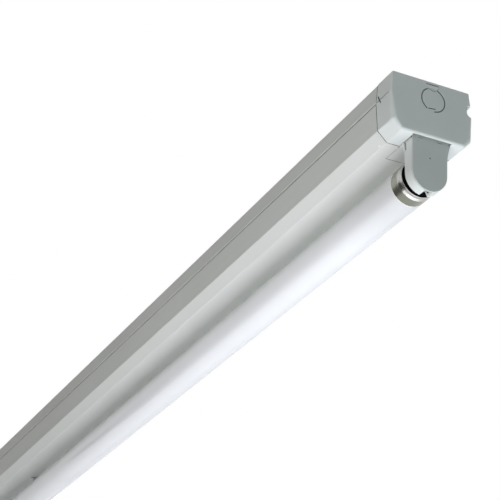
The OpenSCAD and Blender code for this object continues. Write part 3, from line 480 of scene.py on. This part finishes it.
def plain_plastic(name, shades, roughness, grain, shine=0.5):
    """A small moulded or extruded piece with a faint grain."""
    material, tree = new_material(name)
    place = node(tree, "ShaderNodeTexCoord").outputs["Object"]
    grains = node(tree, "ShaderNodeTexNoise", {"Vector": place, "Scale": 1 / grain, "Detail": 3.0})
    gloss = node(
        tree,
        "ShaderNodeMapRange",
        {"Value": grains.outputs[0], "To Min": roughness - 0.06, "To Max": roughness + 0.06},
    )
    bump = node(
        tree, "ShaderNodeBump", {"Height": grains.outputs[0], "Strength": 0.1, "Distance": 0.1 * MM}
    )
    shader = node(
        tree,
        "ShaderNodeBsdfPrincipled",
        {
            "Base Color": shaded(tree, shades, grains.outputs[0]),
            "Roughness": gloss.outputs[0],
            "Specular IOR Level": shine,
            "Normal": bump.outputs[0],
        },
    )
    finish_material(tree, shader)
    return material


def two_colour_leads(name, low_colour, high_colour):
    """Extruded insulation, of one colour on the -Y side of the housing and another on the +Y side."""
    material, tree = new_material(name)
    place = node(tree, "ShaderNodeTexCoord").outputs["Object"]
    apart = node(tree, "ShaderNodeSeparateXYZ", {"Vector": place})
    side = node(tree, "ShaderNodeMath", {0: apart.outputs["Y"], 1: 0.0}, operation="GREATER_THAN")
    shader = node(
        tree,
        "ShaderNodeBsdfPrincipled",
        {
            "Base Color": shaded(tree, (low_colour, high_colour), side.outputs[0]),
            "Roughness": 0.45,
        },
    )
    finish_material(tree, shader)
    return material


# Each finish that has been made, by its name.
_made = {}


def finish_of(name, maker, *args):
    """The material of that name, made the first time that a piece asks for it."""
    if name not in _made:
        _made[name] = maker(name, *args)
    return _made[name]


def steel():
    """White powder coat of the spine and the cover, with painted shade darkening the seam between them and
    other narrow gaps.
    """
    colour = bpy.context.scene.batten_housing.steel_colour
    return finish_of("powder_coated_steel", powder_coated_steel, colour)


def end_moulding():
    """White of the end caps, a little cooler than the paint, with painted shade darkening their grooves.
    """
    shades = (bpy.context.scene.batten_housing.moulding_colour, "#DFE4E2")
    return finish_of(
        "moulded_polycarbonate", moulded_polycarbonate, shades, 0.35 * MM, 0.42, "#4E4E4B"
    )


def carrier_moulding():
    """White of the plates behind the lampholders, drawn a little darker than the end caps as painted
    shade, with faint painted shade in their gaps.
    """
    shades = ("#E4E7E5", "#DFE2E0")
    return finish_of("plain_polycarbonate", moulded_polycarbonate, shades, 0.35 * MM, 0.42, "#B0B0AC")


def lit_shell_moulding():
    """White of the lampholder shells, smoother than the end caps; lighter than the plates and rotors of
    the same moulding, as painted light, with faint painted shade in their gaps.
    """
    shades = ("#E4E8E6", "#DFE3E1")
    return finish_of("white_polycarbonate", moulded_polycarbonate, shades, 0.6 * MM, 0.33, "#B0B2B0")


def shaded_holder_moulding():
    """Front plates and rotors of the lampholders: the shells' moulding drawn greyer, as painted shade,
    with faint painted shade in their gaps.
    """
    shades = ("#CFD4D2", "#C9CECC")
    return finish_of("smooth_polycarbonate", moulded_polycarbonate, shades, 0.6 * MM, 0.33, "#B0B2B0")


def zinc():
    """Zinc plating of the screws, earth point and ballast case: cool grey with soft highlights."""
    return finish_of("zinc_plated_steel", plain_metal, ("#B9BDC1", "#9EA3A8"), 0.35, 1.2 * MM)


def bronze():
    """Rolled phosphor bronze of the contacts and the earth tag: warm and bright."""
    return finish_of("phosphor_bronze", plain_metal, ("#C8A765", "#B08E50"), 0.3, 0.8 * MM)


def pin_metal():
    """Nickelled brass of the lamp pins: bright, with a trace of yellow."""
    return finish_of("nickel_brass", plain_metal, ("#CFC8B4", "#B3AB95"), 0.28, 0.5 * MM)


def phenolic_and_gap_shade():
    """Phenolic laminate, black, matt and hardly shining; its black is partly painted shade, standing for
    the shade in the gap between the lampholder and the cap.
    """
    shades = ("#100F0E", "#0A0A09")
    return finish_of("phenolic_disc", plain_plastic, shades, 0.6, 0.4 * MM, 0.05)


def stem_glass():
    """Glass stem of the cathode: pale grey and smooth, drawn solid as it stands inside the tube."""
    return finish_of("stem_glass", plain_plastic, ("#D8E0DE", "#C9D2D0"), 0.2, 1 * MM)


def nylon():
    """Moulded nylon of the terminals and clips: warm white and half matt."""
    return finish_of("nylon", plain_plastic, ("#E9E9E4", "#DFDFDA"), 0.5, 0.8 * MM)


def rubber():
    """Moulded rubber of the cable bush: black and dull."""
    return finish_of("black_rubber", plain_plastic, ("#1E1E1F", "#161616"), 0.7, 0.6 * MM)


def circuit_board():
    """Solder mask of the ballast's board: green and satin, mottled by the weave beneath."""
    return finish_of("circuit_board", plain_plastic, ("#2E6B40", "#27603A"), 0.4, 2 * MM)


def new_piece(name, shape, material, body, replaced):
    """A finished bmesh as an object on its body, standing for the nodes that it replaces."""
    mesh_data = bpy.data.meshes.new(name)
    shape.to_mesh(mesh_data)
    shape.free()
    mesh_data.materials.clear()
    mesh_data.materials.append(material)
    mesh_data.polygons.foreach_set("use_smooth", [True] * len(mesh_data.polygons))
    mesh_data.set_sharp_from_angle(angle=SHARP_ANGLE)
    piece = bpy.data.objects.new(name, mesh_data)
    bpy.context.scene.collection.objects.link(piece)
    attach(piece, body)
    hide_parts(*replaced)
    return piece


def eased_copy(name, source, material, body, edge):
    """A copy of a CAD node with its edges rounded, as paint or a mould leaves them."""
    shape = bmesh.new()
    shape.from_mesh(NODES[source].data)
    bmesh.ops.remove_doubles(shape, verts=shape.verts, dist=WELD)
    bmesh.ops.dissolve_limit(shape, angle_limit=FLAT_ANGLE, verts=shape.verts, edges=shape.edges)
    sharp = [
        e for e in shape.edges if len(e.link_faces) == 2 and e.calc_face_angle(0) > EASED_ANGLE
    ]
    bmesh.ops.bevel(
        shape,
        geom=sharp,
        offset=edge,
        offset_type="OFFSET",
        affect="EDGES",
        segments=2,
        profile=0.5,
        clamp_overlap=True,
        material=-1,
    )
    piece = new_piece(name, shape, material, body, (source,))
    piece.modifiers.new("Weighted normals", "WEIGHTED_NORMAL").keep_sharp = True
    return piece


def turned(outline, steps, centre_y=0.0):
    """A shape turned about a line along X at the lamp's height, from places along X and radii."""
    shape = bmesh.new()
    verts = [shape.verts.new((x, centre_y, LAMP_AXIS_Z + r)) for x, r in outline]
    edges = [shape.edges.new(pair) for pair in zip(verts, verts[1:])]
    bmesh.ops.spin(
        shape,
        geom=verts + edges,
        cent=(0, centre_y, LAMP_AXIS_Z),
        axis=(1, 0, 0),
        angle=FULL_TURN,
        steps=steps,
        use_merge=True,
    )
    bmesh.ops.remove_doubles(shape, verts=shape.verts, dist=WELD / 2)
    bmesh.ops.recalc_face_normals(shape, faces=shape.faces)
    return shape


def at_end(shape, end):
    """The shape at that end: as it is at the near end, or half a turn about the upright axis."""
    if end == "far":
        half_turn = Matrix.Rotation(math.pi, 3, "Z")
        bmesh.ops.rotate(shape, cent=(0, 0, 0), matrix=half_turn, verts=shape.verts)
    return shape


def rounded_outline(outline, reach):
    """The outline with each corner but the first and last eased by a curve of that reach."""
    points = [Vector(point) for point in outline]
    eased = [points[0]]
    for before, corner, after in zip(points, points[1:], points[2:]):
        # The curves at the two ends of a short side stop just before its middle.
        reach_in = min(reach, (corner - before).length / 2.1)
        reach_out = min(reach, (after - corner).length / 2.1)
        start = corner + reach_in * (before - corner).normalized()
        end = corner + reach_out * (after - corner).normalized()
        for step in range(CURVE_STEPS + 1):
            s = step / CURVE_STEPS
            eased.append((1 - s) ** 2 * start + 2 * s * (1 - s) * corner + s * s * end)
    eased.append(points[-1])
    return [tuple(point) for point in eased]


def coat_node(name, material):
    """Gives a CAD node, which stays as it is, its finish."""
    mesh_data = NODES[name].data
    mesh_data.materials.clear()
    mesh_data.materials.append(material)


class BATTEN_OT_stage(bpy.types.Operator):
    """Camera at the photograph's view, pale floor, dark card, soft lights and white surroundings"""

    bl_idname = "batten.stage"
    bl_label = "Stage"

    def execute(self, context):
        look = context.scene.batten_stage
        self.add_camera(context, look)
        self.add_floor(context, look)
        self.add_card(context, look)
        self.add_lights(context, look)
        self.set_world(context, look)
        context.scene.view_settings.view_transform = "Standard"
        return {"FINISHED"}

    def add_camera(self, context, look):
        """The camera at its place off the near end, turned by the heading, the climb and the roll."""
        ahead = Vector(
            (
                -math.cos(look.climb) * math.cos(look.heading),
                math.cos(look.climb) * math.sin(look.heading),
                math.sin(look.climb),
            )
        )
        right = ahead.cross(Vector((0, 0, 1))).normalized()
        up = right.cross(ahead)
        turned_right = right * math.cos(look.roll) + up * math.sin(look.roll)
        turned_up = up * math.cos(look.roll) - right * math.sin(look.roll)
        camera_data = bpy.data.cameras.new("camera")
        camera_data.lens = look.lens
        camera_data.sensor_width = 36.0
        camera_data.clip_start = 0.01
        camera_data.clip_end = 60.0
        camera = bpy.data.objects.new("camera", camera_data)
        axes = Matrix((turned_right, turned_up, -ahead)).transposed().to_4x4()
        place = Vector(look.camera_from_end) + Vector((NEAR_END_X, 0, 0))
        camera.matrix_world = Matrix.Translation(place) @ axes
        context.scene.collection.objects.link(camera)
        context.scene.camera = camera

    def seen_directly(self, tree):
        """1 for what the camera sees, also in metal and through glass, and 0 for stray light."""
        rays = node(tree, "ShaderNodeLightPath")
        shown = rays.outputs["Is Camera Ray"]
        for kind in ("Is Glossy Ray", "Is Transmission Ray"):
            shown = node(
                tree, "ShaderNodeMath", {0: shown, 1: rays.outputs[kind]}, operation="MAXIMUM"
            ).outputs[0]
        return shown

    def add_floor(self, context, look):
        """A painted floor that the camera sees as a nearly white page."""
        shape = bmesh.new()
        bmesh.ops.create_grid(shape, x_segments=2, y_segments=2, size=look.floor_size / 2)
        bmesh.ops.translate(shape, vec=(0, 0, -look.floor_drop), verts=shape.verts)
        mesh_data = bpy.data.meshes.new("floor")
        shape.to_mesh(mesh_data)
        shape.free()
        material, tree = new_material("painted_floor")
        place = node(tree, "ShaderNodeTexCoord").outputs["Object"]
        cloud = node(
            tree, "ShaderNodeTexNoise", {"Vector": place, "Scale": 1 / FLOOR_CLOUD, "Detail": 3.0}
        )
        paint = node(
            tree,
            "ShaderNodeBsdfDiffuse",
            {"Color": shaded(tree, (look.floor_colour, "#E4E5E5"), cloud.outputs[0])},
        )
        glow = node(tree, "ShaderNodeEmission", {"Color": (1, 1, 1, 1), "Strength": 1.0})
        share = node(
            tree,
            "ShaderNodeMath",
            {0: self.seen_directly(tree), 1: look.floor_whiteness},
            operation="MULTIPLY",
        )
        mixed = node(
            tree,
            "ShaderNodeMixShader",
            {0: share.outputs[0], 1: paint.outputs[0], 2: glow.outputs[0]},
        )
        finish_material(tree, mixed)
        mesh_data.materials.append(material)
        floor = bpy.data.objects.new("floor", mesh_data)
        context.scene.collection.objects.link(floor)

    def add_card(self, context, look):
        """A dark card beside the lamp, which only shows as a dark band in glass and metal."""
        material, tree = new_material("dark_card")
        place = node(tree, "ShaderNodeTexCoord").outputs["Object"]
        apart = node(tree, "ShaderNodeSeparateXYZ", {"Vector": place})
        dark_edge_x = NEAR_END_X - look.card_dark_reach
        beside = node(
            tree,
            "ShaderNodeMapRange",
            {
                "Value": apart.outputs["X"],
                "From Min": dark_edge_x - 0.2,
                "From Max": dark_edge_x,
            },
        )
        tone = shaded(tree, (look.card_colour, look.card_dark_colour), beside.outputs[0])
        finish_material(tree, node(tree, "ShaderNodeEmission", {"Color": tone}))
        shape = bmesh.new()
        bmesh.ops.create_grid(shape, x_segments=1, y_segments=1, size=0.5)
        bmesh.ops.scale(shape, vec=(*look.card_size, 1), verts=shape.verts)
        bmesh.ops.rotate(shape, matrix=Matrix.Rotation(math.pi / 2, 3, "X"), verts=shape.verts)
        centre = Vector(look.card_from_end) + Vector((NEAR_END_X, 0, 0))
        bmesh.ops.translate(shape, vec=centre, verts=shape.verts)
        mesh_data = bpy.data.meshes.new("card")
        shape.to_mesh(mesh_data)
        shape.free()
        mesh_data.materials.append(material)
        card = bpy.data.objects.new("card", mesh_data)
        card.visible_camera = card.visible_diffuse = card.visible_shadow = False
        context.scene.collection.objects.link(card)

    def add_lights(self, context, look):
        """The soft lights round both ends, each turned to the end that it lights."""
        for name, target, side, power, colour in SOFT_LIGHTS:
            light_data = bpy.data.lights.new(name, "AREA")
            light_data.size = look.light_size
            light_data.energy = power
            light_data.color = colour
            light = bpy.data.objects.new(name, light_data)
            place = target + look.light_distance * Vector(side).normalized()
            light.matrix_world = Matrix.Translation(place) @ (
                (target - place).to_track_quat("-Z", "Y").to_matrix().to_4x4()
            )
            light.visible_camera = False
            context.scene.collection.objects.link(light)

    def set_world(self, context, look):
        """A room that the camera sees as plain white and that lights the pieces only a little."""
        world = bpy.data.worlds.new("room")
        world.use_nodes = True
        tree = world.node_tree
        tree.nodes.clear()
        even = node(
            tree, "ShaderNodeBackground", {"Color": (0.96, 0.98, 1, 1), "Strength": look.room_level}
        )
        white = node(tree, "ShaderNodeBackground", {"Color": (1, 1, 1, 1), "Strength": 1.0})
        mixed = node(
            tree,
            "ShaderNodeMixShader",
            {0: self.seen_directly(tree), 1: even.outputs[0], 2: white.outputs[0]},
        )
        node(tree, "ShaderNodeOutputWorld", {"Surface": mixed.outputs[0]})
        context.scene.world = world


class BATTEN_OT_housing(bpy.types.Operator):
    """Folded spine and cover, with the paint drawn round their edges"""

    bl_idname = "batten.housing"
    bl_label = "Housing"

    def execute(self, context):
        look = context.scene.batten_housing
        for name in ("spine", "cover"):
            eased_copy(name + "_sheet", name, steel(), "housing", look.sheet_edge)
        for name in ("cover_post", "cover_screw", "carrier_screws"):
            coat_node(name, zinc())
        return {"FINISHED"}


class BATTEN_OT_end_caps(bpy.types.Operator):
    """Moulded end caps and the plates that carry the lampholders"""

    bl_idname = "batten.end_caps"
    bl_label = "End caps"

    def execute(self, context):
        look = context.scene.batten_housing
        for end in ("near", "far"):
            for name, finish in (("end_cap_", end_moulding()), ("holder_carrier_", carrier_moulding())):
                eased_copy(
                    name + end + "_moulding", name + end, finish, "housing",
                    look.moulding_edge,
                )
        return {"FINISHED"}


class BATTEN_OT_lampholders(bpy.types.Operator):
    """Lampholder shells, plates, rotors and contacts"""

    bl_idname = "batten.lampholders"
    bl_label = "Lampholders"

    def execute(self, context):
        look = context.scene.batten_housing
        for end in ("near", "far"):
            for name, body, finish in (
                ("lampholder_", "housing", lit_shell_moulding()),
                ("holder_plate_", "housing", shaded_holder_moulding()),
                ("rotor_", "rotor_" + end, shaded_holder_moulding()),
            ):
                eased_copy(
                    name + end + "_moulding", name + end, finish, body,
                    look.moulding_edge,
                )
            coat_node("contacts_" + end, bronze())
        return {"FINISHED"}


class BATTEN_OT_lamp(bpy.types.Operator):
    """Glass tube, metal caps, insulating discs and pins"""

    bl_idname = "batten.lamp"
    bl_label = "Lamp"

    def execute(self, context):
        look = context.scene.batten_lamp
        self.add_tube(look)
        for end in ("near", "far"):
            self.add_cap(look, end)
            self.add_disc(look, end)
            self.add_pins(look, end)
            coat_node("cathode_" + end, stem_glass())
        return {"FINISHED"}

    def add_tube(self, look):
        """The full tube, which narrows inside each cap and closes there."""
        r, neck = TUBE_RADIUS, TUBE_RADIUS - 0.7 * MM
        half = [
            (CAP_EDGE_X - 1.2 * MM, r), (CAP_EDGE_X - 0.2 * MM, r), (CAP_EDGE_X + 0.5 * MM, neck),
            (TUBE_END_X - 6 * MM, neck), (TUBE_END_X - 0.5 * MM, neck / 2), (TUBE_END_X, 0),
        ]
        outline = [(-x, radius) for x, radius in reversed(half)] + half
        outline = rounded_outline(outline, 0.6 * MM)
        shape = turned(outline, look.steps_round)
        glass = finish_of("phosphor_coated_glass", phosphor_coated_glass, look.glass_colour)
        new_piece("lamp_tube_glass", shape, glass, "lamp", ("lamp_tube",))

    def add_cap(self, look, end):
        """A hollow cap: a rim round the disc, a shoulder drawn brighter as a painted highlight, and a
        sleeve on the glass.
        """
        face, r = CAP_FACE_X, TUBE_RADIUS
        seat, throat, inner = look.disc_share * r, r - 1.1 * MM, r - 0.6 * MM
        shoulder_x = face - look.shoulder_length
        outline = [
            (face - 2.2 * MM, seat), (face, seat), (face, r - 0.8 * MM),
            (face - 0.2 * MM, r - 0.7 * MM), (face - 2.2 * MM, r - 0.7 * MM),
            (shoulder_x, r - 0.1 * MM), (CAP_EDGE_X + 0.4 * MM, r - 0.1 * MM),
            (CAP_EDGE_X, r - 0.2 * MM), (CAP_EDGE_X, inner), (shoulder_x - 0.8 * MM, inner),
            (face - 3.4 * MM, throat), (face - 2.2 * MM, throat), (face - 2.2 * MM, seat),
        ]
        shape = at_end(turned(rounded_outline(outline, 0.2 * MM), look.steps_round), end)
        shades = (look.cap_colour, look.shoulder_highlight_colour)
        metal = finish_of("drawn_aluminium", drawn_aluminium, *shades, shoulder_x)
        new_piece(
            "lamp_cap_" + end + "_metal", shape, metal, "lamp", ("lamp_cap_" + end,)
        )

    def add_disc(self, look, end):
        """The black disc in the mouth of the cap, slightly raised in its middle."""
        face, r = CAP_FACE_X, look.disc_share * TUBE_RADIUS - 0.2 * MM
        outline = [
            (face - 1.8 * MM, 0), (face - 1.8 * MM, r), (face - 0.3 * MM, r),
            (face - 0.3 * MM, 0.8 * r), (face - 0.15 * MM, 0.76 * r), (face - 0.15 * MM, 0),
        ]
        shape = at_end(turned(rounded_outline(outline, 0.2 * MM), look.steps_round), end)
        new_piece(
            "pin_disc_" + end, shape, phenolic_and_gap_shade(), "lamp", ("pin_insulator_" + end,)
        )

    def add_pins(self, look, end):
        """Both pins as one piece, with eased tips."""
        radius = (PINS_HIGH.z - PINS_LOW.z) / 2
        centre = (PINS_LOW.y + PINS_HIGH.y) / 2
        half_pitch = PINS_HIGH.y - radius - centre
        tip = PINS_HIGH.x
        shape = bmesh.new()
        for side in (-1, 1):
            outline = [
                (CAP_FACE_X - 1.8 * MM, 0), (CAP_FACE_X - 1.8 * MM, radius),
                (tip - 0.3 * MM, radius), (tip, 0.6 * radius), (tip, 0),
            ]
            steps = look.steps_round // 4
            pin = turned(rounded_outline(outline, 0.4 * MM), steps, centre + side * half_pitch)
            part = bpy.data.meshes.new("pin")
            pin.to_mesh(part)
            pin.free()
            shape.from_mesh(part)
            bpy.data.meshes.remove(part)
        new_piece(
            "lamp_pins_" + end + "_turned", at_end(shape, end), pin_metal(), "lamp",
            ("lamp_pins_" + end,),
        )


class BATTEN_OT_gear(bpy.types.Operator):
    """Finishes of the ballast, terminals, earth point, bush and leads inside the housing"""

    bl_idname = "batten.gear"
    bl_label = "Gear"

    def execute(self, context):
        for name in (
            "ballast_case",
            "ballast_lid",
            "ballast_screws",
            "terminal_screws",
            "earth_stud",
            "earth_washer",
            "earth_nut",
        ):
            coat_node(name, zinc())
        for name in ("ballast_mains_terminal", "ballast_lamp_terminal", "terminal_block", "lead_clips"):
            coat_node(name, nylon())
        coat_node("earth_tag", bronze())
        coat_node("cable_bush", rubber())
        coat_node("ballast_board", circuit_board())
        for finish, low_colour, high_colour, names in (
            ("mains_insulation", "#6B4128", "#2D5FAE", ("mains_leads",)),
            ("earth_insulation", "#6F9C2F", "#7FAE3A", ("earth_lead",)),
            ("lamp_insulation", "#C9504A", "#D8D8D4", ("lamp_leads_near", "lamp_leads_far")),
        ):
            for name in names:
                coat_node(name, finish_of(finish, two_colour_leads, low_colour, high_colour))
        return {"FINISHED"}


class BATTEN_PT_panel(bpy.types.Panel):
    """Lists the steps that build the light"""

    bl_idname = "BATTEN_PT_panel"
    bl_label = "Batten light"
    bl_space_type = "VIEW_3D"
    bl_region_type = "UI"
    bl_category = "Batten"

    def draw(self, context):
        for operator in OPERATORS:
            self.layout.operator(operator.bl_idname)


SETTINGS = {
    "batten_stage": StageSettings,
    "batten_housing": HousingSettings,
    "batten_lamp": LampSettings,
}
OPERATORS = (
    BATTEN_OT_stage,
    BATTEN_OT_housing,
    BATTEN_OT_end_caps,
    BATTEN_OT_lampholders,
    BATTEN_OT_lamp,
    BATTEN_OT_gear,
)


def register():
    for name, group in SETTINGS.items():
        bpy.utils.register_class(group)
        setattr(bpy.types.Scene, name, bpy.props.PointerProperty(type=group))
    for one in OPERATORS + (BATTEN_PT_panel,):
        bpy.utils.register_class(one)


def unregister():
    for one in reversed(OPERATORS + (BATTEN_PT_panel,)):
        bpy.utils.unregister_class(one)
    for name, group in SETTINGS.items():
        delattr(bpy.types.Scene, name)
        bpy.utils.unregister_class(group)


def main():
    register()
    bpy.ops.batten.stage()
    bpy.ops.batten.housing()
    bpy.ops.batten.end_caps()
    bpy.ops.batten.lampholders()
    bpy.ops.batten.lamp()
    bpy.ops.batten.gear()


if __name__ == "__main__":
    main()
